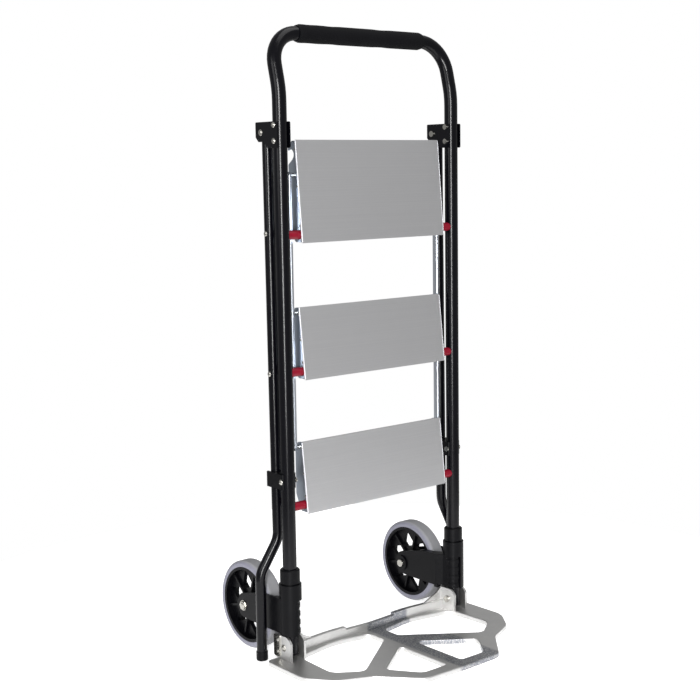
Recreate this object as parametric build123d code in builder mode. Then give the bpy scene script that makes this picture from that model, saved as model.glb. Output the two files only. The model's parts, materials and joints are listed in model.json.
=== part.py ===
from build123d import *
import os
from math import asin, atan2, cos, degrees, hypot, radians, sin, tan

os.makedirs("parts", exist_ok=True)

# Frame: X to the right, Y to the back (wheels), Z up, millimetres. The origin is on the
# ground under the toe plate, midway between the axes of the two front tubes.
# "side" is +1 for the right and -1 for the left; a size such as tube_x is measured from X = 0.

# Radial clearance of every turning or sliding fit
running = 0.05

# Front frame: one round tube bent to an inverted U, with its handle leaned back
tube_radius = 12.5
tube_wall = 1.5
tube_x = 203.5
tube_foot_z = 20.0
handle_z = 1116.3
handle_y = 24.0
handle_lean = 13.5
lean_bend_radius = 150.0
corner_radius = 57.0
grip_radius = 16.0
grip_half_length = 146.0

# Top brackets: folded steel, riveted through the front tube, with the leg's pivot behind it
bracket_plate = 2.0
bracket_gap = tube_radius + running
bracket_front_y = -11.0
bracket_rear_y = 51.0
bracket_top_z = 964.0
bracket_ear_z = 930.0
bracket_low_z = 919.0
bracket_corner = 3.0
bracket_rivet_heights = (958.0, 931.0)
rivet_radius = 3.0
rivet_head_radius = 5.0
rivet_head_height = 2.6

# Leg clips: moulded jaws low on the front tube that hold the folded legs
clip_z = 335.0
clip_height = 27.0
clip_half_width = 15.6
clip_front_y = -5.0
clip_rear_y = 44.0
clip_slack = 0.4

# Rear frame: two thinner legs joined by two crossbars, hung from the top brackets
leg_radius = 9.5
leg_wall = 1.5
leg_pivot_y = 37.0
leg_pivot_z = 946.0
leg_top_z = 958.0
leg_knee_y = 33.5
leg_knee_z = 224.0
leg_ankle_x = 239.0
leg_ankle_z = 162.0
leg_foot_y = 42.0
leg_foot_z = 2.5
leg_bend_radius = 45.0
crossbar_radius = 9.0
crossbar_wall = 1.5
lower_crossbar_z = 524.0
foot_cap_wall = 1.2
foot_cap_height = 16.0
foot_cap_floor = 4.0

# Steps: three folding treads, each hung on two pivots near its lower edge
step_half_width = 169.0
step_front_y = -14.0
pivot_above_edge = 14.3
top_step = {"name": "top", "low_z": 755.0, "depth": 179.0, "slope": 5.0, "ribs": 6}
mid_step = {"name": "mid", "low_z": 513.6, "depth": 129.0, "slope": 6.2, "ribs": 4}
low_step = {"name": "low", "low_z": 271.6, "depth": 129.0, "slope": 6.2, "ribs": 4}
tread_skin = 2.2
rib_depth = 9.3
rib_width = 2.0
groove_pitch = 4.5
groove_width = 1.2
groove_depth = 0.35
end_plate_inner = 163.0
end_plate_outer = 166.8
end_plate_rear_y = 24.0
end_plate_foot = 1.0
end_plate_gap = 0.4
top_plate_lip = 3.0
step_rivet_radius = 1.55
step_rivet_setback = 7.5
bush_radius = 8.0
step_pin_radius = 5.0
step_turn = 68.0

# Link bars: one flat bar a side ties the three steps together
link_y = 15.5
link_above_pivot = 103.0
link_inner = 173.0
link_outer = 178.5
link_half_width = 6.0
link_pin_radius = 4.0

# Hook: an open notch in each top end plate that lands on the upper crossbar
hook_y = 20.0
hook_z = 908.0
hook_radius = crossbar_radius + 0.35
hook_entry_angle = -38.0

# Toe plate: aluminium casting, hinged on the feet of the front tubes
hinge_z = 31.0
plate_thickness = 8.5
flange_top_z = 26.0
flange_middle_z = 21.0
flange_width = 9.0
flange_middle_x = 60.0
centre_web_half = 18.0
plug_radius = 18.0
hinge_pin_radius = 4.0
lug_inner = 186.0
lug_outer = 221.0
lug_wall = 4.6
lug_top_z = 52.0
lug_front_y = -20.0
lug_front_top_z = 41.5
lug_brow_y = -8.5
lug_rear_y = 18.6
lug_back_y = 23.2
gusset_inner = 140.0
cam_plate_y = 18.5
cam_plate_z = 32.0
cam_plate_width = 17.0
cam_plate_height = 40.0
cam_plate_thickness = 2.2
cam_rivet_heights = (22.0, 43.0)
cam_rivet_y = 15.0
cam_rivet_radius = 2.0

# Wheels and the swinging brackets that carry them
tyre_radius = 82.0
rim_radius = 70.5
wheel_inner = 187.0
wheel_outer = 219.0
axle_y = 118.0
axle_radius = 6.0
axle_boss_radius = 15.0
axle_boss_height = 3.0
bolt_head_radius = 7.5
bolt_head_height = 4.0
washer_radius = 9.5
washer_thickness = 0.9
nut_radius = 8.4
nut_height = 2.4
hub_bore_radius = 8.0
hub_barrel_radius = 17.0
hub_rim_wall = 5.5
hub_web_inner = 199.0
hub_web_thickness = 8.0
spokes = 6
window_middle = 46.5
window_side = 40.0
window_base = 38.0
spoke_rib_inner = 194.0
spoke_rib_depth = 18.0
spoke_rib_width = 4.0
spoke_rib_length = 52.0
spoke_rib_middle = 41.0
tyre_shoulder_radius = 77.0
tyre_tread_edge = 5.0
sleeve_bottom_z = 54.0
sleeve_step_z = 118.0
sleeve_top_z = 149.6
sleeve_radius = 16.2
sleeve_wide_radius = 20.5
arm_inner = 172.0
arm_outer = 185.0
fork_inner = 220.4
fork_outer = 224.4
arm_low_z = 58.0
arm_high_z = 122.0
arm_root_y = 22.0
arm_bend_y = 60.0
arm_tip_reach = 22.0
ridge_heights = (60.0, 76.0, 92.0, 108.0)
ridge_width = 7.0
ridge_depth = 1.2
collar_top_z = 175.0
collar_radius = 18.0
collar_gap = 0.4


def save(piece, label):
    piece.part.label = label
    export_step(piece.part, f"parts/{label}.step")


def side_name(side):
    return "right" if side > 0 else "left"


def cross_cylinder(side, inner, outer, y, z, radius, mode=Mode.ADD):
    # A cylinder along X between two distances from the middle plane
    with Locations((side * (inner + outer) / 2, y, z)):
        Cylinder(radius, outer - inner, rotation=(0, 90, 0), mode=mode)


def headed_pin(side, inner, outer, y, z, radius, head_radius, head_height, inner_head=0.0):
    # A pin along X with a domed head outboard and, where asked, a flat one inboard
    start = (side * inner, y, z)
    length = outer - inner
    tail = [(0, 0), (radius, 0)]
    if inner_head:
        tail = [(0, -inner_head), (head_radius, -inner_head), (head_radius, 0), (radius, 0)]
    neck = [(radius, length), (head_radius, length)] if head_radius > radius else [(radius, length)]
    dome_radius = (head_radius ** 2 + head_height ** 2) / (2 * head_height)
    half_angle = asin(head_radius / dome_radius) / 2
    dome_middle = (dome_radius * sin(half_angle),
                   length + head_height - dome_radius * (1 - cos(half_angle)))
    with BuildSketch(Plane(origin=start, x_dir=(0, 1, 0), z_dir=(0, 0, -side))) as profile:
        with BuildLine():
            Polyline((0, length + head_height), *tail, *neck)
            ThreePointArc((head_radius, length), dome_middle, (0, length + head_height))
        make_face()
    revolve(profile.sketch, axis=Axis(start, (side, 0, 0)))


def upright_tube_cut(x, y, radius, low, high):
    with Locations((x, y, (low + high) / 2)):
        Cylinder(radius, high - low, mode=Mode.SUBTRACT)


# ---------------------------------------------------------------- geometry of the fold

def pivot_z(step):
    return step["low_z"] + pivot_above_edge


def upper_edge(step):
    slope = radians(step["slope"])
    return step_front_y + step["depth"] * sin(slope), step["low_z"] + step["depth"] * cos(slope)


leg_lean = degrees(atan2(leg_pivot_y - leg_knee_y, leg_pivot_z - leg_knee_z))


def crossbar_swing():
    # Where the open hook ends up gives the crossbar's distance from the leg pivot and the leg's swing
    rise = hook_z - pivot_z(top_step)
    reach = hypot(hook_y, rise)
    turned = atan2(hook_y, rise) + radians(step_turn)
    back = reach * sin(turned) - leg_pivot_y
    down = leg_pivot_z - pivot_z(top_step) - reach * cos(turned)
    return hypot(back, down), degrees(atan2(back, down)) + leg_lean


crossbar_reach, leg_swing = crossbar_swing()
upper_crossbar_z = leg_pivot_z - crossbar_reach * cos(radians(leg_lean))


def leg_y(z):
    return leg_knee_y + (leg_pivot_y - leg_knee_y) * (z - leg_knee_z) / (leg_pivot_z - leg_knee_z)


# ---------------------------------------------------------------- front frame

def make_front_tube():
    lean_z = handle_z - handle_y / tan(radians(handle_lean))
    with BuildPart() as tube:
        with BuildLine() as route:
            FilletPolyline(
                (-tube_x, 0, tube_foot_z), (-tube_x, 0, lean_z), (-tube_x, handle_y, handle_z),
                (tube_x, handle_y, handle_z), (tube_x, 0, lean_z), (tube_x, 0, tube_foot_z),
                radius=[lean_bend_radius, corner_radius, corner_radius, lean_bend_radius])
        with BuildSketch(Plane.XY.offset(tube_foot_z)):
            with Locations((-tube_x, 0)):
                Circle(tube_radius)
                Circle(tube_radius - tube_wall, mode=Mode.SUBTRACT)
        sweep(path=route.line)
        near = tube_x - tube_radius - 1.5
        far = tube_x + tube_radius + 1.5
        for side in (-1, 1):
            cross_cylinder(side, near, far, 0, hinge_z, hinge_pin_radius + running, Mode.SUBTRACT)
            for z in bracket_rivet_heights + (clip_z,):
                cross_cylinder(side, near, far, 0, z, rivet_radius + running, Mode.SUBTRACT)
            for step in (top_step, mid_step, low_step):
                cross_cylinder(side, near, tube_x, 0, pivot_z(step),
                               step_pin_radius + running, Mode.SUBTRACT)
    save(tube, "front_tube")


def make_foam_grip():
    with BuildPart() as grip:
        with BuildSketch(Plane(origin=(-grip_half_length, handle_y, handle_z), z_dir=(1, 0, 0))):
            Circle(grip_radius)
            Circle(tube_radius + running, mode=Mode.SUBTRACT)
        extrude(amount=2 * grip_half_length)
        fillet(grip.edges().filter_by(GeomType.CIRCLE).group_by(SortBy.RADIUS)[-1], radius=1.6)
    save(grip, "foam_grip")


def make_tube_plugs():
    # Each plug's underside is a cylinder about the toe plate's hinge, so the plate can turn round it
    with BuildPart() as plugs:
        for side in (-1, 1):
            with Locations((side * tube_x, 0, tube_foot_z - 5)):
                Cylinder(tube_radius, 10)
            with Locations((side * tube_x, 0, tube_foot_z + 3)):
                Cylinder(tube_radius - tube_wall - running, 6)
        with Locations((0, 0, hinge_z)):
            Cylinder(plug_radius, 2 * tube_x + 40, rotation=(0, 90, 0), mode=Mode.INTERSECT)
    save(plugs, "tube_plugs")


def make_top_bracket(side):
    # Folded steel: two cheeks beside the tube and the leg, joined by a web behind the tube
    half = bracket_gap + bracket_plate
    with BuildPart() as bracket:
        with BuildSketch(Plane.YZ.offset(side * tube_x)):
            with BuildLine():
                FilletPolyline(
                    (bracket_front_y, bracket_top_z), (bracket_rear_y, bracket_top_z),
                    (bracket_rear_y, bracket_ear_z + 8), (bracket_rear_y - 8, bracket_ear_z),
                    (28, bracket_ear_z), (16, bracket_low_z), (bracket_front_y, bracket_low_z),
                    radius=[bracket_corner, 2.5, 3, 4, 6, bracket_corner, bracket_corner], close=True)
            make_face()
        extrude(amount=half, both=True)
        with Locations((side * tube_x, 0, 940)):
            Box(2 * bracket_gap, 60, 60, align=(Align.CENTER, Align.MAX, Align.CENTER), mode=Mode.SUBTRACT)
        with Locations((side * tube_x, tube_radius + running + bracket_plate, 940)):
            Box(2 * bracket_gap, 60, 60, align=(Align.CENTER, Align.MIN, Align.CENTER), mode=Mode.SUBTRACT)
        upright_tube_cut(side * tube_x, 0, tube_radius + running, 900, 980)
        for z in bracket_rivet_heights:
            cross_cylinder(side, tube_x - 20, tube_x + 20, 0, z, rivet_radius + running, Mode.SUBTRACT)
        cross_cylinder(side, tube_x - 20, tube_x + 20, leg_pivot_y, leg_pivot_z,
                       rivet_radius + running, Mode.SUBTRACT)
    save(bracket, f"top_bracket_{side_name(side)}")


def make_bracket_rivets():
    half = bracket_gap + bracket_plate
    with BuildPart() as rivets:
        for side in (-1, 1):
            for z in bracket_rivet_heights:
                headed_pin(side, tube_x - half, tube_x + half, 0, z,
                           rivet_radius, rivet_head_radius, rivet_head_height, rivet_head_height)
    save(rivets, "bracket_rivets")


def make_leg_pivot_pins():
    half = bracket_gap + bracket_plate
    with BuildPart() as pins:
        for side in (-1, 1):
            headed_pin(side, tube_x - half, tube_x + half, leg_pivot_y, leg_pivot_z,
                       rivet_radius, rivet_head_radius + 0.6, rivet_head_height, rivet_head_height)
    save(pins, "leg_pivot_pins")


def make_leg_clip(side):
    # Moulded clip: it wraps the tube from behind and its open jaw takes the leg
    jaw = leg_radius + clip_slack
    low = clip_z - clip_height / 2
    rest_y = leg_y(clip_z)
    with BuildPart() as clip:
        with BuildSketch(Plane.XY.offset(low)):
            with Locations((side * tube_x, (clip_front_y + clip_rear_y) / 2)):
                RectangleRounded(2 * clip_half_width, clip_rear_y - clip_front_y, 4)
            with Locations((side * tube_x, 0)):
                Circle(tube_radius + running, mode=Mode.SUBTRACT)
            with Locations((side * tube_x, -20)):
                Rectangle(2 * tube_radius - 1.0, 40, mode=Mode.SUBTRACT)
            with Locations((side * tube_x, rest_y)):
                Circle(jaw, mode=Mode.SUBTRACT)
            with Locations((side * tube_x, rest_y + 20)):
                Rectangle(2 * jaw, 40, mode=Mode.SUBTRACT)
        extrude(amount=clip_height)
        cross_cylinder(side, tube_x - 20, tube_x + 20, 0, clip_z, rivet_radius + running, Mode.SUBTRACT)
    save(clip, f"leg_clip_{side_name(side)}")


def make_clip_rivets():
    with BuildPart() as rivets:
        for side in (-1, 1):
            headed_pin(side, tube_x - clip_half_width, tube_x + clip_half_width, 0, clip_z,
                       rivet_radius, rivet_head_radius, rivet_head_height, rivet_head_height)
    save(rivets, "clip_rivets")


def make_step_bushes():
    # Red spacers between the tubes and the steps, their outer ends shaped to the tube
    with BuildPart() as bushes:
        for side in (-1, 1):
            for step in (top_step, mid_step, low_step):
                cross_cylinder(side, end_plate_outer + 0.3, tube_x - 6, 0, pivot_z(step), bush_radius)
        for side in (-1, 1):
            upright_tube_cut(side * tube_x, 0, tube_radius + 0.02, 200, 850)
            for step in (top_step, mid_step, low_step):
                cross_cylinder(side, 160, 200, 0, pivot_z(step), step_pin_radius + 0.02, Mode.SUBTRACT)
    save(bushes, "step_bushes")


def make_step_pivot_pins():
    with BuildPart() as pins:
        for side in (-1, 1):
            for step in (top_step, mid_step, low_step):
                headed_pin(side, end_plate_inner - 0.3, tube_x - 8, 0, pivot_z(step),
                           step_pin_radius, step_pin_radius + 2, 2.0, 2.5)
    save(pins, "step_pivot_pins")


def make_stop_collar(side):
    # Fixed ring above the wheel bracket, which stops it from riding up the tube
    with BuildPart() as collar:
        with BuildSketch(Plane.XY.offset(sleeve_top_z + collar_gap)):
            with Locations((side * tube_x, 0)):
                Circle(collar_radius)
                Circle(tube_radius + running, mode=Mode.SUBTRACT)
        extrude(amount=collar_top_z - sleeve_top_z - collar_gap)
        top_rims = collar.edges().filter_by(GeomType.CIRCLE).group_by(Axis.Z)[-1]
        chamfer(top_rims.sort_by(SortBy.RADIUS)[-1], length=2)
    save(collar, f"stop_collar_{side_name(side)}")


def make_hinge_bolts():
    with BuildPart() as bolts:
        for side in (-1, 1):
            headed_pin(side, lug_inner - 0.3, lug_outer + 0.3, 0, hinge_z, hinge_pin_radius, 6.5, 3.2, 3.6)
    save(bolts, "hinge_bolts")


# ---------------------------------------------------------------- rear frame

def make_rear_leg(side):
    x = side * tube_x
    top_y = leg_y(leg_top_z)
    with BuildPart() as leg:
        with BuildLine() as route:
            FilletPolyline((x, top_y, leg_top_z), (x, leg_knee_y, leg_knee_z),
                           (side * leg_ankle_x, leg_foot_y - 1, leg_ankle_z),
                           (side * leg_ankle_x, leg_foot_y, leg_foot_z + foot_cap_floor + 0.2),
                           radius=[leg_bend_radius, leg_bend_radius])
        with BuildSketch(Plane(origin=route.line @ 0, z_dir=route.line % 0)):
            Circle(leg_radius)
            Circle(leg_radius - leg_wall, mode=Mode.SUBTRACT)
        sweep(path=route.line)
        hole_radius = rivet_radius + running
        cross_cylinder(side, tube_x - 12, tube_x + 12, leg_pivot_y, leg_pivot_z, hole_radius, Mode.SUBTRACT)
        for z in (upper_crossbar_z, lower_crossbar_z):
            cross_cylinder(side, tube_x, tube_x + 12, leg_y(z), z, hole_radius, Mode.SUBTRACT)
    save(leg, f"rear_leg_{side_name(side)}")


def make_crossbar(label, z):
    y = leg_y(z)
    with BuildPart() as bar:
        with Locations((0, y, z)):
            Cylinder(crossbar_radius, 2 * (tube_x - 2), rotation=(0, 90, 0))
            Cylinder(crossbar_radius - crossbar_wall, 2 * tube_x, rotation=(0, 90, 0), mode=Mode.SUBTRACT)
        for side in (-1, 1):
            upright_tube_cut(side * tube_x, y, leg_radius + running, z - 30, z + 30)
    save(bar, label)


def make_crossbar_rivets():
    with BuildPart() as rivets:
        for side in (-1, 1):
            for z in (upper_crossbar_z, lower_crossbar_z):
                headed_pin(side, tube_x + 4, tube_x + leg_radius, leg_y(z), z, rivet_radius, 4.6, 2.2)
    save(rivets, "crossbar_rivets")


def make_rear_foot_cap(side):
    with BuildPart() as cap:
        with BuildSketch(Plane.XY.offset(leg_foot_z)):
            with Locations((side * leg_ankle_x, leg_foot_y)):
                Circle(leg_radius + foot_cap_wall)
        extrude(amount=foot_cap_height)
        fillet(cap.edges().group_by(Axis.Z)[0], radius=1.5)
        upright_tube_cut(side * leg_ankle_x, leg_foot_y, leg_radius + 0.15, leg_foot_z + foot_cap_floor, 40)
    save(cap, f"rear_foot_cap_{side_name(side)}")


# ---------------------------------------------------------------- steps

def make_tread(step):
    # Extruded aluminium: a thin grooved skin on ribs, modelled in the plane of the tread
    slope = radians(step["slope"])
    lower_edge = Plane(origin=(0, step_front_y, step["low_z"]), x_dir=(0, sin(slope), cos(slope)),
                       z_dir=(-1, 0, 0))
    depth = step["depth"]
    grooves = int((depth - 8) / groove_pitch)
    with BuildPart() as tread:
        with BuildSketch(lower_edge):
            with Locations((depth / 2, tread_skin / 2)):
                Rectangle(depth, tread_skin)
            with Locations((depth / 2, groove_depth / 2)):
                with GridLocations(groove_pitch, 1, grooves, 1):
                    Rectangle(groove_width, groove_depth, mode=Mode.SUBTRACT)
        extrude(amount=step_half_width, both=True)
        with BuildSketch(lower_edge):
            with Locations((depth / 2, (tread_skin + rib_depth) / 2)):
                with GridLocations((depth - rib_width) / (step["ribs"] - 1), 1, step["ribs"], 1):
                    Rectangle(rib_width, rib_depth - tread_skin)
        extrude(amount=end_plate_inner - 0.4, both=True)
    save(tread, f"{step['name']}_tread")


def make_end_plate(step, side):
    upper_y, upper_z = upper_edge(step)
    low_z = step["low_z"] + end_plate_foot
    skin_gap = tread_skin + end_plate_gap
    is_top = step is top_step
    lip = top_plate_lip if is_top else 0.0
    with BuildPart() as plate:
        with BuildSketch(Plane.YZ.offset(side * end_plate_inner)):
            with BuildLine():
                FilletPolyline((step_front_y + skin_gap, low_z), (11, low_z), (end_plate_rear_y, low_z + 30),
                               (end_plate_rear_y + lip, upper_z - 12), (16, upper_z - 1.5),
                               (upper_y + skin_gap, upper_z - 1.5), radius=[2, 7, 12, 5, 5, 1.5], close=True)
            make_face()
            with Locations((0, pivot_z(step))):
                Circle(step_pin_radius + running, mode=Mode.SUBTRACT)
            with Locations((link_y, pivot_z(step) + link_above_pivot)):
                Circle(link_pin_radius + 0.02, mode=Mode.SUBTRACT)
            if is_top:
                with Locations((hook_y, hook_z)):
                    Circle(hook_radius, mode=Mode.SUBTRACT)
                entry = Location((hook_y, hook_z), hook_entry_angle)
                with Locations(entry):
                    Rectangle(40, 2 * hook_radius + 1.0, align=(Align.MIN, Align.CENTER), mode=Mode.SUBTRACT)
        extrude(amount=side * (end_plate_outer - end_plate_inner))
        for y, z in step_rivet_places(step):
            cross_cylinder(side, 160, 170, y, z, step_rivet_radius + running, Mode.SUBTRACT)
    save(plate, f"{step['name']}_end_plate_{side_name(side)}")


def step_rivet_places(step):
    # Three small rivets along the front of each end plate, just behind the tread
    slope = radians(step["slope"])
    places = []
    for along in (30.0, 0.55 * step["depth"], 0.91 * step["depth"]):
        y = step_front_y + along * sin(slope) + step_rivet_setback
        places.append((y, step["low_z"] + along * cos(slope)))
    return places


def make_step_rivets(step):
    with BuildPart() as rivets:
        for side in (-1, 1):
            for y, z in step_rivet_places(step):
                headed_pin(side, end_plate_inner, end_plate_outer, y, z, step_rivet_radius, 2.8, 1.3, 0.35)
    save(rivets, f"{step['name']}_step_rivets")


def make_link_pins(step):
    with BuildPart() as pins:
        for side in (-1, 1):
            headed_pin(side, end_plate_inner - 0.2, link_outer + 0.3, link_y,
                       pivot_z(step) + link_above_pivot, link_pin_radius, 6.0, 2.4, 2.2)
    save(pins, f"{step['name']}_link_pins")


def make_link_bar(side):
    top_z = pivot_z(top_step) + link_above_pivot
    low_z = pivot_z(low_step) + link_above_pivot
    with BuildPart() as bar:
        with BuildSketch(Plane.YZ.offset(side * link_inner)):
            with Locations((link_y, (top_z + low_z) / 2)):
                SlotCenterToCenter(top_z - low_z, 2 * link_half_width, rotation=90)
            with Locations((link_y, top_z)):
                Circle(link_pin_radius + running, mode=Mode.SUBTRACT)
            with Locations((link_y, pivot_z(mid_step) + link_above_pivot), (link_y, low_z)):
                Circle(link_pin_radius + 0.3, mode=Mode.SUBTRACT)
        extrude(amount=side * (link_outer - link_inner))
        chamfer(bar.edges().filter_by(Axis.Z), length=0.8)
    save(bar, f"link_bar_{side_name(side)}")


# ---------------------------------------------------------------- wheels

def make_wheel_bracket(side):
    # Moulded sleeve that turns on the front tube; its two arms reach back to the axle, astride the wheel
    x = side * tube_x
    inner_root = [(0, -10), (-16, -2), (-21, 8), (-31.5, 21), (-31.5, 34), (-18.5, 34), (-12, 22), (0, 14)]
    outer_root = [(0, -14), (14, -10), (20.9, 2), (20.9, 34), (16.9, 34), (16.9, 26), (6, 16), (0, 12)]
    with BuildPart() as bracket:
        for near, far in ((arm_inner, arm_outer), (fork_inner, fork_outer)):
            with BuildSketch(Plane.YZ.offset(side * near)):
                with BuildLine():
                    FilletPolyline(
                        (arm_root_y, arm_low_z), (arm_root_y, arm_high_z), (arm_bend_y, arm_high_z - 2),
                        (axle_y + 8, tyre_radius + arm_tip_reach), (axle_y + arm_tip_reach, tyre_radius),
                        (axle_y + 8, tyre_radius - arm_tip_reach), (arm_bend_y, arm_low_z),
                        radius=[4, 3, 30, 14, 14, 14, 20], close=True)
                make_face()
            extrude(amount=side * (far - near))
        for root in (inner_root, outer_root):
            with BuildSketch(Plane.XY.offset(arm_low_z)):
                with BuildLine():
                    Polyline(*[(x + side * across, back) for across, back in root], close=True)
                make_face()
            extrude(amount=arm_high_z - arm_low_z)
        with BuildSketch(Plane.XY.offset(sleeve_bottom_z)):
            with Locations((x, 0)):
                Circle(sleeve_wide_radius)
            with Locations((x + side * sleeve_wide_radius, 0)):
                Rectangle(2 * sleeve_wide_radius, 3 * sleeve_wide_radius, mode=Mode.INTERSECT)
        extrude(amount=sleeve_step_z - sleeve_bottom_z)
        with BuildSketch(Plane.XY.offset(sleeve_bottom_z)):
            with Locations((x, 0)):
                Circle(sleeve_radius)
        extrude(amount=sleeve_top_z - sleeve_bottom_z)
        for z in ridge_heights:
            with Locations((x, 0, z)):
                Cylinder(sleeve_radius + ridge_depth, ridge_width)
        with BuildSketch(Plane.XY.offset(sleeve_step_z)):
            with Locations((x, 0)):
                Circle(sleeve_wide_radius)
        extrude(amount=sleeve_top_z - sleeve_step_z - 2)
        with Locations((x - side * 25, 20, 56)):
            Box(9, 10, 6)
        cross_cylinder(side, arm_inner - axle_boss_height, arm_inner, axle_y, tyre_radius, axle_boss_radius)
        upright_tube_cut(x, 0, tube_radius + running, 40, 160)
        cross_cylinder(side, arm_inner - 10, fork_outer + 10, axle_y, tyre_radius,
                       axle_radius + 0.02, Mode.SUBTRACT)
    save(bracket, f"wheel_bracket_{side_name(side)}")


def make_axle_bolt(side):
    seat = arm_inner - axle_boss_height
    tail = fork_outer + washer_thickness + nut_height + 0.1
    with BuildPart() as bolt:
        headed_pin(side, seat, tail, axle_y, tyre_radius, axle_radius, axle_radius, 1.0)
        cross_cylinder(side, seat - bolt_head_height, seat, axle_y, tyre_radius, bolt_head_radius)
        rims = [edge for edge in bolt.edges().filter_by(GeomType.CIRCLE)
                if abs(edge.radius - bolt_head_radius) < 0.01 and abs(edge.center().X) < seat - 2]
        fillet(rims, radius=1.2)
    save(bolt, f"axle_bolt_{side_name(side)}")


def make_axle_nut(side):
    with BuildPart() as nut:
        with BuildSketch(Plane.YZ.offset(side * (fork_outer + 0.02))):
            with Locations((axle_y, tyre_radius)):
                Circle(washer_radius)
                Circle(axle_radius + 0.02, mode=Mode.SUBTRACT)
        extrude(amount=side * washer_thickness)
        with BuildSketch(Plane.YZ.offset(side * (fork_outer + washer_thickness))):
            with Locations((axle_y, tyre_radius)):
                RegularPolygon(nut_radius, 6, major_radius=True)
                Circle(axle_radius + 0.02, mode=Mode.SUBTRACT)
        extrude(amount=side * nut_height)
    save(nut, f"axle_nut_{side_name(side)}")


def make_hub_bush(side):
    with BuildPart() as bush:
        cross_cylinder(side, arm_outer + 0.5, wheel_outer, axle_y, tyre_radius, hub_bore_radius)
        cross_cylinder(side, arm_outer, wheel_outer + 1, axle_y, tyre_radius,
                       axle_radius + running, Mode.SUBTRACT)
    save(bush, f"hub_bush_{side_name(side)}")


def make_hub(side):
    # Six broad spokes: a rim ring and a web with six triangular windows
    centre = (axle_y, tyre_radius)
    rim_start = side * (wheel_inner + 1)
    with BuildPart() as hub:
        with BuildSketch(Plane.YZ.offset(rim_start)):
            with Locations(centre):
                Circle(rim_radius)
                Circle(rim_radius - hub_rim_wall, mode=Mode.SUBTRACT)
        extrude(amount=side * (wheel_outer - wheel_inner - 2))
        with BuildSketch(Plane.YZ.offset(side * hub_web_inner)):
            with Locations(centre):
                Circle(rim_radius - 3)
                with PolarLocations(0, spokes, start_angle=15):
                    with Locations((window_middle, 0)):
                        Triangle(a=window_base, b=window_side, c=window_side, rotation=-90,
                                 align=(Align.CENTER, Align.CENTER), mode=Mode.SUBTRACT)
        extrude(amount=side * hub_web_thickness)
        with BuildSketch(Plane.YZ.offset(side * (arm_outer + 1.0))):
            with Locations(centre):
                Circle(hub_barrel_radius)
        extrude(amount=side * (wheel_outer - arm_outer - 1.2))
        for angle in range(45, 405, 360 // spokes):
            along = axle_y + spoke_rib_middle * cos(radians(angle))
            up = tyre_radius + spoke_rib_middle * sin(radians(angle))
            with BuildSketch(Plane.YZ.offset(side * spoke_rib_inner)):
                with Locations(Location((along, up), angle)):
                    Rectangle(spoke_rib_length, spoke_rib_width)
            extrude(amount=side * spoke_rib_depth)
        cross_cylinder(side, 180, 225, axle_y, tyre_radius, hub_bore_radius + 0.02, Mode.SUBTRACT)
    save(hub, f"hub_{side_name(side)}")


def make_tyre(side):
    middle = side * (wheel_inner + wheel_outer) / 2
    half = (wheel_outer - wheel_inner) / 2
    across = Plane(origin=(middle, axle_y, tyre_radius), x_dir=(1, 0, 0), z_dir=(0, -1, 0))
    with BuildPart() as tyre:
        with BuildSketch(across):
            with BuildLine():
                FilletPolyline(
                    (-half, rim_radius + 0.02), (half, rim_radius + 0.02), (half, tyre_shoulder_radius),
                    (half - tyre_tread_edge, tyre_radius), (tyre_tread_edge - half, tyre_radius),
                    (-half, tyre_shoulder_radius), radius=[1, 1, 4, 4, 4, 4], close=True)
            make_face()
        revolve(axis=Axis((middle, axle_y, tyre_radius), (1, 0, 0)))
    save(tyre, f"tyre_{side_name(side)}")


# ---------------------------------------------------------------- toe plate

def make_toe_plate():
    outline = [(0, -237), (91, -234), (150, -167), (211, -139), (248, -90), (246, 19),
               (190, 21), (95, 30), (0, 24)]
    outline_radii = [26, 30, 36, 50, 10, 40, 300]
    hole = [(centre_web_half, 0), (95, 14), (190, -4), (195, -104), (147, -137), (centre_web_half, -41)]
    window = [(centre_web_half, -86), (114, -156), (75, -210), (centre_web_half, -210)]
    flange_front = [(0, 24 - flange_width), (95, 30 - flange_width), (188, 21 - flange_width)]
    with BuildPart() as plate:
        with BuildSketch():
            with BuildLine():
                FilletPolyline(*outline, radius=outline_radii)
                mirror(about=Plane.YZ)
            make_face()
        extrude(amount=plate_thickness)
        with BuildSketch():
            for sign in (-1, 1):
                with BuildLine():
                    FilletPolyline(*[(sign * x, y) for x, y in hole],
                                   radius=[14, 120, 30, 26, 18, 9], close=True)
                make_face()
                with BuildLine():
                    FilletPolyline(*[(sign * x, y) for x, y in window], radius=[8, 9, 18, 6], close=True)
                make_face()
        extrude(amount=plate_thickness, mode=Mode.SUBTRACT)
        fillet(plate.edges().group_by(Axis.Z)[-1], radius=2.0)
        with BuildSketch(Plane.XY.offset(plate_thickness - 3)):
            with BuildLine():
                rear = FilletPolyline(*outline[6:], radius=[300])
                front = FilletPolyline(*flange_front, radius=[300])
                Line(front @ 1, rear @ 0)
                mirror(about=Plane.YZ)
            make_face()
        extrude(amount=flange_top_z - plate_thickness + 3)
        with Locations((0, 20, flange_middle_z)):
            Box(2 * flange_middle_x, 40, 20, align=(Align.CENTER, Align.CENTER, Align.MIN),
                mode=Mode.SUBTRACT)
        for side in (-1, 1):
            with Locations((side * (lug_inner + 20), 20, plate_thickness)):
                Box(40.2, 40, 30, align=(Align.CENTER, Align.CENTER, Align.MIN), mode=Mode.SUBTRACT)
    save(plate, "toe_plate")


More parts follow.
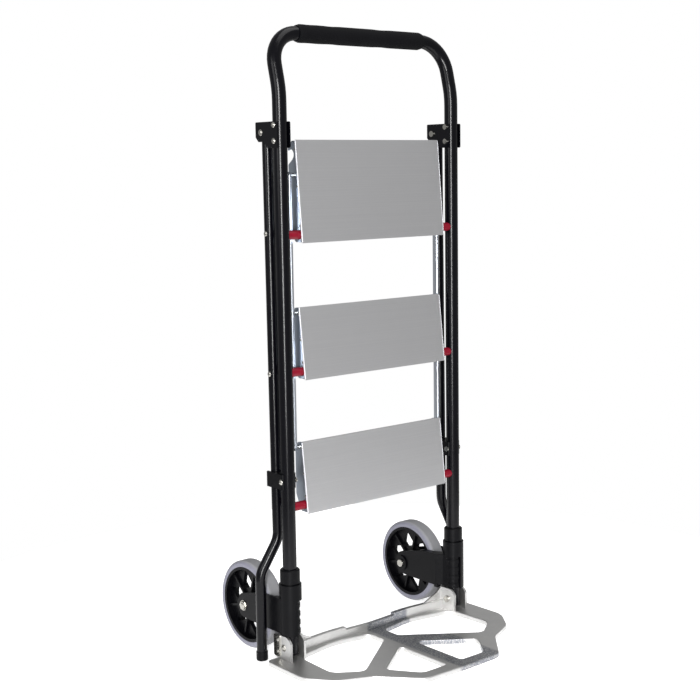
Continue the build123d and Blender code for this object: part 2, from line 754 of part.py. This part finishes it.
def make_hinge_lug(side):
    # Two cheeks beside the tube's foot and a wall behind it; open to the front and the top
    mid = (lug_inner + lug_outer) / 2
    with BuildPart() as lug:
        with BuildSketch(Plane.YZ.offset(side * lug_inner)):
            with BuildLine():
                Polyline((lug_front_y, lug_front_top_z), (lug_front_y, plate_thickness),
                         (lug_back_y, plate_thickness), (lug_back_y, lug_top_z), (lug_brow_y, lug_top_z))
                ThreePointArc((lug_brow_y, lug_top_z), (-15.5, 47.4), (lug_front_y, lug_front_top_z))
            make_face()
        extrude(amount=side * (lug_outer - lug_inner))
        with Locations((side * mid, lug_rear_y, hinge_z)):
            Box(lug_outer - lug_inner - 2 * lug_wall, 80, 80,
                align=(Align.CENTER, Align.MAX, Align.CENTER), mode=Mode.SUBTRACT)
        with BuildSketch(Plane.XZ.offset(-lug_rear_y)):
            with BuildLine():
                Polyline((side * lug_inner, flange_top_z), (side * lug_inner, lug_top_z - 2),
                         (side * (lug_inner - 10), lug_top_z - 10), (side * gusset_inner, flange_top_z),
                         close=True)
            make_face()
        extrude(amount=-4)
        cross_cylinder(side, 180, 230, 0, hinge_z, hinge_pin_radius + 0.06, Mode.SUBTRACT)
        for z in cam_rivet_heights:
            cross_cylinder(side, lug_outer - lug_wall - 1, lug_outer + 1, cam_rivet_y, z,
                           cam_rivet_radius + 0.02, Mode.SUBTRACT)
    save(lug, f"hinge_lug_{side_name(side)}")


def make_cam_plates():
    # Small plates riveted outside the lugs, which push the wheel brackets round as the toe plate folds
    with BuildPart() as plates:
        for side in (-1, 1):
            with BuildSketch(Plane.YZ.offset(side * (lug_outer + 0.02))):
                with Locations((cam_plate_y, cam_plate_z)):
                    RectangleRounded(cam_plate_width, cam_plate_height, 3)
                for z in cam_rivet_heights:
                    with Locations((cam_rivet_y, z)):
                        Circle(cam_rivet_radius + 0.02, mode=Mode.SUBTRACT)
            extrude(amount=side * cam_plate_thickness)
    save(plates, "cam_plates")


def make_lug_rivets():
    with BuildPart() as rivets:
        for side in (-1, 1):
            for z in cam_rivet_heights:
                headed_pin(side, lug_outer - lug_wall + 0.1, lug_outer + cam_plate_thickness + 0.04,
                           cam_rivet_y, z, cam_rivet_radius, 3.2, 1.6)
    save(rivets, "lug_rivets")


make_front_tube()
make_foam_grip()
make_tube_plugs()
make_bracket_rivets()
make_leg_pivot_pins()
make_clip_rivets()
make_step_bushes()
make_step_pivot_pins()
make_hinge_bolts()
make_crossbar("upper_crossbar", upper_crossbar_z)
make_crossbar("lower_crossbar", lower_crossbar_z)
make_crossbar_rivets()
make_toe_plate()
make_cam_plates()
make_lug_rivets()
for each_side in (-1, 1):
    make_top_bracket(each_side)
    make_leg_clip(each_side)
    make_stop_collar(each_side)
    make_rear_leg(each_side)
    make_rear_foot_cap(each_side)
    make_link_bar(each_side)
    make_wheel_bracket(each_side)
    make_axle_bolt(each_side)
    make_axle_nut(each_side)
    make_hub_bush(each_side)
    make_hub(each_side)
    make_tyre(each_side)
    make_hinge_lug(each_side)
for each_step in (top_step, mid_step, low_step):
    make_tread(each_step)
    make_step_rivets(each_step)
    make_link_pins(each_step)
    for each_side in (-1, 1):
        make_end_plate(each_step, each_side)

print(f"upper crossbar at Z {upper_crossbar_z:.2f}, rear frame swing {leg_swing:.3f} degrees")
print(f"steps turn {step_turn / leg_swing:.5f} times the rear frame")
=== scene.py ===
import json
import math
import bpy
import bmesh
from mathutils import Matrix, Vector


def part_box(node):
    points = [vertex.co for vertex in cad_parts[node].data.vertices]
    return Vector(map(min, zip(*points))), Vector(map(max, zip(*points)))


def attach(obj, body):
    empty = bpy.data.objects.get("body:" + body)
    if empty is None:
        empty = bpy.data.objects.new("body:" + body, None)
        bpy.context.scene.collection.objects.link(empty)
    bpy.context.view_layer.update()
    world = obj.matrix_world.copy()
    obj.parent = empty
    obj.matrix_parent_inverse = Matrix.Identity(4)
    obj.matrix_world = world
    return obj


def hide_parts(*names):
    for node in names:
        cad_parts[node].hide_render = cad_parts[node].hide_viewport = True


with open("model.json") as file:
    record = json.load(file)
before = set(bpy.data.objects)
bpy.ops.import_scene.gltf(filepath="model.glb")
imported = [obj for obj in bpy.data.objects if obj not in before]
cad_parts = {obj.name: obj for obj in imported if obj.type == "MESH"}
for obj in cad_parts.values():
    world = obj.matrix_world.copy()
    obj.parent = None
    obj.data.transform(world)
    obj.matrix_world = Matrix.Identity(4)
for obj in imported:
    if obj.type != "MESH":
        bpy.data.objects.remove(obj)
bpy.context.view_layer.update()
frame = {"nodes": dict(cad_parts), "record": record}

nodes = frame["nodes"]
bpy.ops.object.select_all(action="DESELECT")


def hexColour(code):
    channels = [int(code[i:i + 2], 16) / 255 for i in (1, 3, 5)]
    linear = [c / 12.92 if c <= 0.04045 else ((c + 0.055) / 1.055) ** 2.4 for c in channels]
    return (*linear, 1.0)


def addNode(tree, kind, settings=None, links=None):
    node = tree.nodes.new(kind)
    for key, value in (settings or {}).items():
        if isinstance(key, str) and hasattr(node, key):
            setattr(node, key, value)
        else:
            node.inputs[key].default_value = value
    for key, source in (links or {}).items():
        tree.links.new(source, node.inputs[key])
    return node


def startMaterial(name, **sockets):
    material = bpy.data.materials.new(name)
    material.use_nodes = True
    tree = material.node_tree
    shader = tree.nodes["Principled BSDF"]
    for key, value in sockets.items():
        shader.inputs[key.replace("_", " ")].default_value = value
    place = addNode(tree, "ShaderNodeTexCoord").outputs["Object"]
    return material, tree, shader, place


def finishMaterial(tree, shader, colour, roughness, normal):
    for socket, source in (("Base Color", colour), ("Roughness", roughness), ("Normal", normal)):
        if source:
            tree.links.new(source, shader.inputs[socket])


def powderCoatBlack():
    # Steel tube, black gloss powder coat: deep black, sharp streaks, a faint orange peel
    values = {"colour": "#010103", "dusty": "#040408", "roughLow": 0.2, "roughHigh": 0.24,
              "cloudScale": 14.0, "peelSize": 0.009, "peelDepth": 0.00001}
    material, tree, shader, place = startMaterial("powderCoatBlack", IOR=1.5, Specular_IOR_Level=0.2)
    peel = addNode(tree, "ShaderNodeTexNoise", {"Scale": 1 / values["peelSize"], "Detail": 2.0},
                   {"Vector": place})
    cloud = addNode(tree, "ShaderNodeTexNoise", {"Scale": values["cloudScale"], "Detail": 4.0},
                    {"Vector": place})
    tone = addNode(tree, "ShaderNodeMix", {"data_type": "RGBA", 6: hexColour(values["colour"]),
                   7: hexColour(values["dusty"])}, {0: cloud.outputs["Fac"]}).outputs[2]
    rough = addNode(tree, "ShaderNodeMapRange",
                    {"To Min": values["roughLow"], "To Max": values["roughHigh"]},
                    {"Value": cloud.outputs["Fac"]}).outputs["Result"]
    bump = addNode(tree, "ShaderNodeBump", {"Strength": 0.2, "Distance": values["peelDepth"]},
                   {"Height": peel.outputs["Fac"]})
    finishMaterial(tree, shader, tone, rough, bump.outputs["Normal"])
    return material


def nitrileFoam():
    # Closed-cell nitrile foam: flat black, a soft pale sheen at its rim, fine open cells
    values = {"colour": "#030305", "worn": "#08080B", "wearScale": 30.0,
              "cellSize": 0.0013, "cellDepth": 0.0002}
    material, tree, shader, place = startMaterial("nitrileFoam", Roughness=0.8, Specular_IOR_Level=0.1,
                                                  Sheen_Weight=0.008, Sheen_Roughness=0.5)
    cells = addNode(tree, "ShaderNodeTexVoronoi", {"Scale": 1 / values["cellSize"]}, {"Vector": place})
    wear = addNode(tree, "ShaderNodeTexNoise", {"Scale": values["wearScale"], "Detail": 5.0},
                   {"Vector": place})
    tone = addNode(tree, "ShaderNodeMix", {"data_type": "RGBA", 6: hexColour(values["colour"]),
                   7: hexColour(values["worn"])}, {0: wear.outputs["Fac"]}).outputs[2]
    bump = addNode(tree, "ShaderNodeBump", {"Strength": 0.5, "Distance": values["cellDepth"]},
                   {"Height": cells.outputs["Distance"]})
    finishMaterial(tree, shader, tone, None, bump.outputs["Normal"])
    return material


def mouldedNylonBlack():
    # Glass-filled nylon, injection moulded: black with a satin skin and a fine leather grain
    values = {"colour": "#020204", "scuffed": "#070709", "roughLow": 0.3, "roughHigh": 0.44,
              "cloudScale": 45.0, "grainSize": 0.0009, "grainDepth": 0.00005}
    material, tree, shader, place = startMaterial("mouldedNylonBlack", IOR=1.5, Specular_IOR_Level=0.1)
    grain = addNode(tree, "ShaderNodeTexVoronoi", {"Scale": 1 / values["grainSize"]}, {"Vector": place})
    cloud = addNode(tree, "ShaderNodeTexNoise",
                    {"Scale": values["cloudScale"], "Detail": 6.0, "Roughness": 0.6},
                    {"Vector": place})
    tone = addNode(tree, "ShaderNodeMix", {"data_type": "RGBA", 6: hexColour(values["colour"]),
                   7: hexColour(values["scuffed"])}, {0: cloud.outputs["Fac"]}).outputs[2]
    rough = addNode(tree, "ShaderNodeMapRange",
                    {"To Min": values["roughLow"], "To Max": values["roughHigh"]},
                    {"Value": cloud.outputs["Fac"]}).outputs["Result"]
    bump = addNode(tree, "ShaderNodeBump", {"Strength": 0.4, "Distance": values["grainDepth"]},
                   {"Height": grain.outputs["Distance"]})
    finishMaterial(tree, shader, tone, rough, bump.outputs["Normal"])
    return material


def zincPlatedSteel():
    # Cold-headed steel, bright zinc plate: pale grey mirror broken by fine tool marks
    values = {"colour": "#C4C2BC", "dull": "#8C8A84", "roughLow": 0.16, "roughHigh": 0.34,
              "markSize": 0.0012, "markDepth": 0.00004}
    material, tree, shader, place = startMaterial("zincPlatedSteel", Metallic=1.0)
    marks = addNode(tree, "ShaderNodeTexNoise", {"Scale": 1 / values["markSize"], "Detail": 4.0},
                    {"Vector": place})
    tone = addNode(tree, "ShaderNodeMix", {"data_type": "RGBA", 6: hexColour(values["colour"]),
                   7: hexColour(values["dull"])}, {0: marks.outputs["Fac"]}).outputs[2]
    rough = addNode(tree, "ShaderNodeMapRange",
                    {"To Min": values["roughLow"], "To Max": values["roughHigh"]},
                    {"Value": marks.outputs["Fac"]}).outputs["Result"]
    bump = addNode(tree, "ShaderNodeBump", {"Strength": 0.25, "Distance": values["markDepth"]},
                   {"Height": marks.outputs["Fac"]})
    finishMaterial(tree, shader, tone, rough, bump.outputs["Normal"])
    return material


def dyedAcetal(name, colour, shade):
    # Acetal, turned or moulded: even colour, waxy low gloss, very fine turning lines round X
    values = {"roughLow": 0.28, "roughHigh": 0.4, "lineSize": 0.0009, "lineLength": 1 / 30,
              "lineDepth": 0.00004}
    material, tree, shader, place = startMaterial(name, IOR=1.48, Specular_IOR_Level=0.25,
                                                  Subsurface_Weight=0.06, Subsurface_Scale=0.002)
    alongLine = 1 / values["lineLength"]
    stretch = addNode(tree, "ShaderNodeMapping", {"Scale": (1 / values["lineSize"], alongLine, alongLine)},
                      {"Vector": place})
    lines = addNode(tree, "ShaderNodeTexNoise", {"Scale": 1.0, "Detail": 3.0},
                    {"Vector": stretch.outputs["Vector"]})
    tone = addNode(tree, "ShaderNodeMix", {"data_type": "RGBA", 6: hexColour(colour), 7: hexColour(shade)},
                   {0: lines.outputs["Fac"]}).outputs[2]
    rough = addNode(tree, "ShaderNodeMapRange",
                    {"To Min": values["roughLow"], "To Max": values["roughHigh"]},
                    {"Value": lines.outputs["Fac"]}).outputs["Result"]
    bump = addNode(tree, "ShaderNodeBump", {"Strength": 0.3, "Distance": values["lineDepth"]},
                   {"Height": lines.outputs["Fac"]})
    finishMaterial(tree, shader, tone, rough, bump.outputs["Normal"])
    return material


def greyTyreRubber(axleY, axleZ, treadRadius):
    # Grey thermoplastic rubber: lavender sidewall, and a paler tread scuffed by rolling
    values = {"sidewall": "#73737F", "sidewallShade": "#686873", "tread": "#7B7B7D", "treadShade": "#6D6E71",
              "shoulder": 0.004, "crown": 0.0006, "roughSide": 0.5, "roughTread": 0.72,
              "cloudScale": 55.0, "grainSize": 0.0011, "grainDepth": 0.00008}
    material, tree, shader, place = startMaterial("greyTyreRubber", IOR=1.48)
    centred = addNode(tree, "ShaderNodeMapping",
                      {"Location": (0.0, -axleY, -axleZ), "Scale": (0.0, 1.0, 1.0)},
                      {"Vector": place})
    radius = addNode(tree, "ShaderNodeVectorMath", {"operation": "LENGTH"}, {0: centred.outputs["Vector"]})
    onTread = addNode(tree, "ShaderNodeMapRange", {"From Min": treadRadius - values["shoulder"],
                      "From Max": treadRadius - values["crown"]}, {"Value": radius.outputs["Value"]})
    cloud = addNode(tree, "ShaderNodeTexNoise",
                    {"Scale": values["cloudScale"], "Detail": 6.0, "Roughness": 0.65},
                    {"Vector": place})
    grain = addNode(tree, "ShaderNodeTexNoise", {"Scale": 1 / values["grainSize"], "Detail": 3.0},
                    {"Vector": place})
    side = addNode(tree, "ShaderNodeMix", {"data_type": "RGBA", 6: hexColour(values["sidewall"]),
                   7: hexColour(values["sidewallShade"])}, {0: cloud.outputs["Fac"]}).outputs[2]
    crown = addNode(tree, "ShaderNodeMix", {"data_type": "RGBA", 6: hexColour(values["tread"]),
                    7: hexColour(values["treadShade"])}, {0: cloud.outputs["Fac"]}).outputs[2]
    tone = addNode(tree, "ShaderNodeMix", {"data_type": "RGBA"},
                   {0: onTread.outputs["Result"], 6: side, 7: crown}).outputs[2]
    rough = addNode(tree, "ShaderNodeMapRange",
                    {"To Min": values["roughSide"], "To Max": values["roughTread"]},
                    {"Value": onTread.outputs["Result"]}).outputs["Result"]
    bump = addNode(tree, "ShaderNodeBump", {"Strength": 0.45, "Distance": values["grainDepth"]},
                   {"Height": grain.outputs["Fac"]})
    finishMaterial(tree, shader, tone, rough, bump.outputs["Normal"])
    return material


def castAluminium():
    # Pressure-cast aluminium, tumbled: mid grey satin with a fine skin; a stippled patch over its webs
    values = {"colour": "#D0CFCD", "shade": "#B9B9B9", "stipple": "#86888E",
              "roughLow": 0.36, "roughHigh": 0.5, "cloudScale": 26.0,
              "skinSize": 0.0035, "skinDepth": 0.0001, "stipplePitch": 0.0034, "stippleDepth": 0.0004,
              "dotLow": 0.15, "dotHigh": 0.55,
              "patchLow": -0.012, "patchHigh": 0.098, "patchFade": 0.006}
    material, tree, shader, place = startMaterial("castAluminium", Metallic=1.0)
    cloud = addNode(tree, "ShaderNodeTexNoise",
                    {"Scale": values["cloudScale"], "Detail": 7.0, "Roughness": 0.62},
                    {"Vector": place})
    skin = addNode(tree, "ShaderNodeTexNoise", {"Scale": 1 / values["skinSize"], "Detail": 4.0},
                   {"Vector": place})
    dots = addNode(tree, "ShaderNodeTexVoronoi", {"Scale": 1 / values["stipplePitch"], "Randomness": 0.55},
                   {"Vector": place})
    axes = addNode(tree, "ShaderNodeSeparateXYZ", {}, {0: place})
    fromLeft = addNode(tree, "ShaderNodeMapRange", {"From Min": values["patchLow"],
                       "From Max": values["patchLow"] + values["patchFade"]}, {"Value": axes.outputs["X"]})
    fromRight = addNode(tree, "ShaderNodeMapRange", {"From Min": values["patchHigh"],
                        "From Max": values["patchHigh"] - values["patchFade"]}, {"Value": axes.outputs["X"]})
    patch = addNode(tree, "ShaderNodeMath", {"operation": "MULTIPLY"},
                    {0: fromLeft.outputs["Result"], 1: fromRight.outputs["Result"]})
    dotTone = addNode(tree, "ShaderNodeMapRange",
                      {"From Min": values["dotLow"], "From Max": values["dotHigh"]},
                      {"Value": dots.outputs["Distance"]})
    dotMask = addNode(tree, "ShaderNodeMath", {"operation": "MULTIPLY"},
                      {0: patch.outputs["Value"], 1: dotTone.outputs["Result"]})
    tone = addNode(tree, "ShaderNodeMix", {"data_type": "RGBA", 6: hexColour(values["colour"]),
                   7: hexColour(values["shade"])}, {0: cloud.outputs["Fac"]}).outputs[2]
    stippled = addNode(tree, "ShaderNodeMix", {"data_type": "RGBA", 7: hexColour(values["stipple"])},
                       {0: dotMask.outputs["Value"], 6: tone}).outputs[2]
    rough = addNode(tree, "ShaderNodeMapRange",
                    {"To Min": values["roughLow"], "To Max": values["roughHigh"]},
                    {"Value": cloud.outputs["Fac"]}).outputs["Result"]
    skinBump = addNode(tree, "ShaderNodeBump", {"Strength": 0.3, "Distance": values["skinDepth"]},
                       {"Height": skin.outputs["Fac"]})
    bump = addNode(tree, "ShaderNodeBump",
                   {"Strength": 0.6, "Distance": values["stippleDepth"], "invert": True},
                   {"Height": dotMask.outputs["Value"], "Normal": skinBump.outputs["Normal"]})
    finishMaterial(tree, shader, stippled, rough, bump.outputs["Normal"])
    return material


def drawnAluminium(name, colour, shade, roughLow, roughHigh, lineSize, along):
    # Extruded or rolled aluminium, satin anodised: fine die lines one way, bright where it was sawn across.
    # The lines are drawn coarser than real ones, so that they show.
    values = {"sawn": "#E2E2E4", "lineLength": 0.4, "lineDepth": 0.00006, "cloudScale": 9.0,
              "sawnFrom": 0.75, "sawnTo": 0.9, "patchTone": 0.35}
    material, tree, shader, place = startMaterial(name, Metallic=1.0)
    across, lengthways = 1 / lineSize, 1 / values["lineLength"]
    scale = {"X": (lengthways, across, across), "Z": (across, across, lengthways)}[along]
    stretch = addNode(tree, "ShaderNodeMapping", {"Scale": scale}, {"Vector": place})
    lines = addNode(tree, "ShaderNodeTexNoise", {"Scale": 1.0, "Detail": 3.0},
                    {"Vector": stretch.outputs["Vector"]})
    cloud = addNode(tree, "ShaderNodeTexNoise", {"Scale": values["cloudScale"], "Detail": 3.0},
                    {"Vector": place})
    blend = addNode(tree, "ShaderNodeMix", {"data_type": "FLOAT", 0: values["patchTone"]},
                    {2: lines.outputs["Fac"], 3: cloud.outputs["Fac"]})
    tone = addNode(tree, "ShaderNodeMix", {"data_type": "RGBA", 6: hexColour(colour), 7: hexColour(shade)},
                   {0: blend.outputs[0]}).outputs[2]
    facing = addNode(tree, "ShaderNodeTexCoord")
    sides = addNode(tree, "ShaderNodeSeparateXYZ", {}, {0: facing.outputs["Normal"]})
    sideways = addNode(tree, "ShaderNodeMath", {"operation": "ABSOLUTE"}, {0: sides.outputs["X"]})
    sawn = addNode(tree, "ShaderNodeMapRange",
                   {"From Min": values["sawnFrom"], "From Max": values["sawnTo"],
                   "To Max": 1.0 if along == "X" else 0.0}, {"Value": sideways.outputs["Value"]})
    finished = addNode(tree, "ShaderNodeMix", {"data_type": "RGBA", 7: hexColour(values["sawn"])},
                       {0: sawn.outputs["Result"], 6: tone}).outputs[2]
    rough = addNode(tree, "ShaderNodeMapRange", {"To Min": roughLow, "To Max": roughHigh},
                    {"Value": blend.outputs[0]}).outputs["Result"]
    bump = addNode(tree, "ShaderNodeBump", {"Strength": 0.3, "Distance": values["lineDepth"]},
                   {"Height": lines.outputs["Fac"]})
    finishMaterial(tree, shader, finished, rough, bump.outputs["Normal"])
    return material


def sawnAluminium():
    # Aluminium cut by a saw: a bright, slightly torn face with tooth marks up and down it
    values = {"colour": "#F4F4F8", "dull": "#D2D3DA", "toothSize": 0.0014, "toothDepth": 0.0001}
    material, tree, shader, place = startMaterial("sawnAluminium", Metallic=0.35, Roughness=0.42)
    teeth = addNode(tree, "ShaderNodeTexNoise", {"Scale": 1 / values["toothSize"], "Detail": 3.0},
                    {"Vector": place})
    tone = addNode(tree, "ShaderNodeMix", {"data_type": "RGBA", 6: hexColour(values["colour"]),
                   7: hexColour(values["dull"])}, {0: teeth.outputs["Fac"]}).outputs[2]
    bump = addNode(tree, "ShaderNodeBump", {"Strength": 0.5, "Distance": values["toothDepth"]},
                   {"Height": teeth.outputs["Fac"]})
    finishMaterial(tree, shader, tone, None, bump.outputs["Normal"])
    return material


tyreLow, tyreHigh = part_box("tyre_right")
axleY, axleZ = (tyreLow.y + tyreHigh.y) / 2, (tyreLow.z + tyreHigh.z) / 2
treadRadius = (tyreHigh.z - tyreLow.z) / 2

finishes = {
    "black_enamel": powderCoatBlack(),
    "foam": nitrileFoam(),
    "bright_steel": zincPlatedSteel(),
    "black_plastic": mouldedNylonBlack(),
    "red_plastic": dyedAcetal("redAcetal", "#7C0820", "#5C0516"),
    "nylon": dyedAcetal("naturalAcetal", "#D6D3CA", "#BDB9AF"),
    "grey_rubber": greyTyreRubber(axleY, axleZ, treadRadius),
    "cast_aluminium": castAluminium(),
    "link_aluminium": drawnAluminium("rolledAluminiumBar", "#C4C9D0", "#A9AEB6", 0.28, 0.4, 0.0008, "Z"),
    "tread_aluminium": drawnAluminium("extrudedAnodisedAluminium", "#D2D2D3", "#C2C2C4",
                                      0.42, 0.54, 0.0016, "X"),
    "end_plate_aluminium": drawnAluminium("pressedAluminiumSheet", "#B4BCC8", "#949CA7",
                                          0.3, 0.44, 0.001, "Z"),
}
sawnEdge = sawnAluminium()
for part in frame["record"]["subparts"]:
    node = nodes[part["node"]]
    node.data.materials.clear()
    node.data.materials.append(finishes[part["material_slot"]])
print("materials on", len(nodes), "CAD nodes")


def makeFoamGrip():
    # A foam sleeve on the handle, its cut ends rolled in, slightly uneven where hands squeeze it
    values = {"sides": 64, "rings": 46, "rollLength": 0.006, "rollDrop": 0.0018, "squeeze": 0.0007,
              "broadWave": 9.0, "shortWave": 23.0, "smoothAngle": 50}
    near = 0.0001                                       # closer than this, two places are the same
    low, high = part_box("foam_grip")
    middle = (low + high) / 2
    radius = (high.z - low.z) / 2
    length = high.x - low.x
    bpy.ops.object.select_all(action="DESELECT")
    bpy.ops.mesh.primitive_cylinder_add(vertices=values["sides"], radius=radius, depth=length,
                                        end_fill_type="NOTHING", location=middle,
                                        rotation=(0, math.pi / 2, 0))
    grip = bpy.context.object
    grip.name = "foamGrip"
    bpy.ops.object.transform_apply(location=True, rotation=True, scale=True)
    bpy.ops.object.mode_set(mode="EDIT")
    for i in range(1, values["rings"]):
        x = low.x + length * i / values["rings"]
        bpy.ops.mesh.select_all(action="SELECT")
        bpy.ops.mesh.bisect(plane_co=(x, 0, 0), plane_no=(1, 0, 0))
    bpy.ops.mesh.select_mode(type="EDGE")
    mesh = bmesh.from_edit_mesh(grip.data)
    for end in (low.x, low.x, high.x, high.x):          # each cut end turns in towards the tube in two steps
        bpy.ops.mesh.select_all(action="DESELECT")
        for edge in mesh.edges:
            edge.select_set(edge.is_boundary and all(abs(vert.co.x - end) < near for vert in edge.verts))
        bpy.ops.mesh.extrude_edges_move()
        for vert in mesh.verts:
            if vert.select:
                spoke = Vector((0, vert.co.y - middle.y, vert.co.z - middle.z))
                vert.co -= spoke.normalized() * values["rollDrop"]
        bmesh.update_edit_mesh(grip.data)
    for vert in mesh.verts:                             # hands leave the foam very slightly uneven
        spoke = Vector((0, vert.co.y - middle.y, vert.co.z - middle.z))
        along = vert.co.x / length
        fromEnd = min(vert.co.x - low.x, high.x - vert.co.x)
        wave = math.sin(along * values["broadWave"]) * math.sin(along * values["shortWave"] + 1.0)
        roll = values["rollDrop"] * max(0.0, 1 - fromEnd / values["rollLength"]) ** 2
        if spoke.length > radius - 5 * near:
            vert.co += spoke.normalized() * (min(values["squeeze"] * wave, 0.0) - roll)
    bmesh.update_edit_mesh(grip.data)
    bpy.ops.mesh.select_all(action="SELECT")
    bpy.ops.mesh.normals_make_consistent(inside=False)
    bpy.ops.object.mode_set(mode="OBJECT")
    bpy.ops.object.shade_smooth_by_angle(angle=math.radians(values["smoothAngle"]))
    grip.data.materials.append(finishes["foam"])
    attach(grip, "front_frame")
    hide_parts("foam_grip")


makeFoamGrip()
print("foam grip done")


def makeSawnEdges(step):
    # A thin burr stands at each end of a tread, as wide as the skin and a little uneven along its length
    values = {"thick": 0.0007, "wide": 0.0026, "inset": 0.0015, "rings": 26, "unevenness": 0.0005,
              "shortWave": 41.0, "broadWave": 17.0, "edgeBevel": 0.00015, "reach": 0.004}
    low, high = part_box(step + "_tread")
    skin = [v.co for v in nodes[step + "_tread"].data.vertices]
    edgeLow = min((p for p in skin if p.z < low.z + values["reach"]), key=lambda p: p.y)
    edgeHigh = min((p for p in skin if p.z > high.z - values["reach"]), key=lambda p: p.y)
    run = edgeHigh - edgeLow
    run.x = 0
    length = run.length - 2 * values["inset"]
    lean = math.atan2(run.y, run.z)
    for side in (-1, 1):
        outer = high.x if side > 0 else low.x
        middle = (edgeLow + edgeHigh) / 2
        middle.x = outer + side * values["thick"] / 2
        middle.y += values["wide"] / 2
        bpy.ops.object.select_all(action="DESELECT")
        bpy.ops.mesh.primitive_cube_add(size=1, location=middle, rotation=(-lean, 0, 0),
                                        scale=(values["thick"], values["wide"], length))
        strip = bpy.context.object
        strip.name = step + "SawnEdge" + ("Right" if side > 0 else "Left")
        bpy.ops.object.transform_apply(location=True, rotation=True, scale=True)
        bpy.ops.object.mode_set(mode="EDIT")
        for i in range(1, values["rings"]):
            bpy.ops.mesh.select_all(action="SELECT")
            point = edgeLow + run * (i / values["rings"])
            bpy.ops.mesh.bisect(plane_co=point, plane_no=run.normalized())
        mesh = bmesh.from_edit_mesh(strip.data)
        for vert in mesh.verts:
            along = (vert.co.z - low.z) / (high.z - low.z)
            if vert.co.y > middle.y + (vert.co.z - middle.z) * math.tan(lean):
                wave = math.sin(along * values["shortWave"] + side) * math.sin(along * values["broadWave"])
                vert.co.y += values["unevenness"] * wave
        bmesh.update_edit_mesh(strip.data)
        bpy.ops.mesh.select_all(action="SELECT")
        bpy.ops.mesh.bevel(offset=values["edgeBevel"], segments=1)
        bpy.ops.object.mode_set(mode="OBJECT")
        strip.data.materials.append(sawnEdge)
        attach(strip, step + "_step")


for step in ("top", "mid", "low"):
    makeSawnEdges(step)
print("sawn edges done")


def makeFloor():
    # A pale disc just under the object, which glows a little so that it meets the backdrop
    values = {"radius": 1.0, "sides": 96, "below": 0.0005, "paint": "#F8F8F8", "glow": 0.55}
    bpy.ops.object.select_all(action="DESELECT")
    bpy.ops.mesh.primitive_circle_add(vertices=values["sides"], radius=values["radius"], fill_type="NGON",
                                      location=(0, 0, -values["below"]))
    floor = bpy.context.object
    floor.name = "studioFloor"
    material = startMaterial("studioFloorPaint", Base_Color=hexColour(values["paint"]), Roughness=0.9,
                             Specular_IOR_Level=0.1, Emission_Color=(1, 1, 1, 1),
                             Emission_Strength=values["glow"])[0]
    floor.data.materials.append(material)


def makeWorld():
    # The backdrop is plain white, lights the object more softly than it looks, and is dimmer in reflections
    values = {"seen": 1.0, "lighting": 0.5, "reflected": 0.42}
    world = bpy.data.worlds.new("studioWorld")
    bpy.context.scene.world = world
    world.use_nodes = True
    tree = world.node_tree
    shader = tree.nodes["Background"]
    rays = addNode(tree, "ShaderNodeLightPath")
    level = addNode(tree, "ShaderNodeMapRange", {"To Min": values["lighting"], "To Max": values["seen"]},
                    {"Value": rays.outputs["Is Camera Ray"]}).outputs["Result"]
    mirrored = addNode(tree, "ShaderNodeMix", {"data_type": "FLOAT", 3: values["reflected"]},
                       {0: rays.outputs["Is Glossy Ray"], 2: level})
    shader.inputs["Color"].default_value = (1, 1, 1, 1)
    tree.links.new(mirrored.outputs[0], shader.inputs["Strength"])


def addLight(name, place, aim, width, height, watts):
    lamp = bpy.data.lights.new(name, "AREA")
    lamp.shape = "RECTANGLE"
    lamp.size, lamp.size_y, lamp.energy = width, height, watts
    holder = bpy.data.objects.new(name, lamp)
    bpy.context.scene.collection.objects.link(holder)
    holder.location = place
    holder.rotation_euler = (Vector(aim) - Vector(place)).to_track_quat("-Z", "Y").to_euler()


def makeCamera():
    values = {"place": (-1.5779, -1.8314, 0.879), "turn": (82.249, 0.9116, -39.8641), "lens": 67.84}
    camera = bpy.data.cameras.new("studioCamera")
    camera.lens = values["lens"]
    camera.sensor_width = 36.0
    holder = bpy.data.objects.new("studioCamera", camera)
    bpy.context.scene.collection.objects.link(holder)
    holder.location = values["place"]
    holder.rotation_euler = [math.radians(angle) for angle in values["turn"]]
    bpy.context.scene.camera = holder


makeFloor()
makeWorld()
addLight("stripLight", (-2.25, -2.45, 1.1), (0, 0, 0.6), 0.3, 2.4, 190)
addLight("leftSoftbox", (-2.6, -0.4, 1.5), (0, 0, 0.6), 1.0, 1.6, 18)
addLight("topSoftbox", (0.6, -0.6, 3.2), (0, 0, 0.4), 2.0, 2.0, 30)
makeCamera()
bpy.context.scene.view_settings.view_transform = "Standard"
print("studio done")
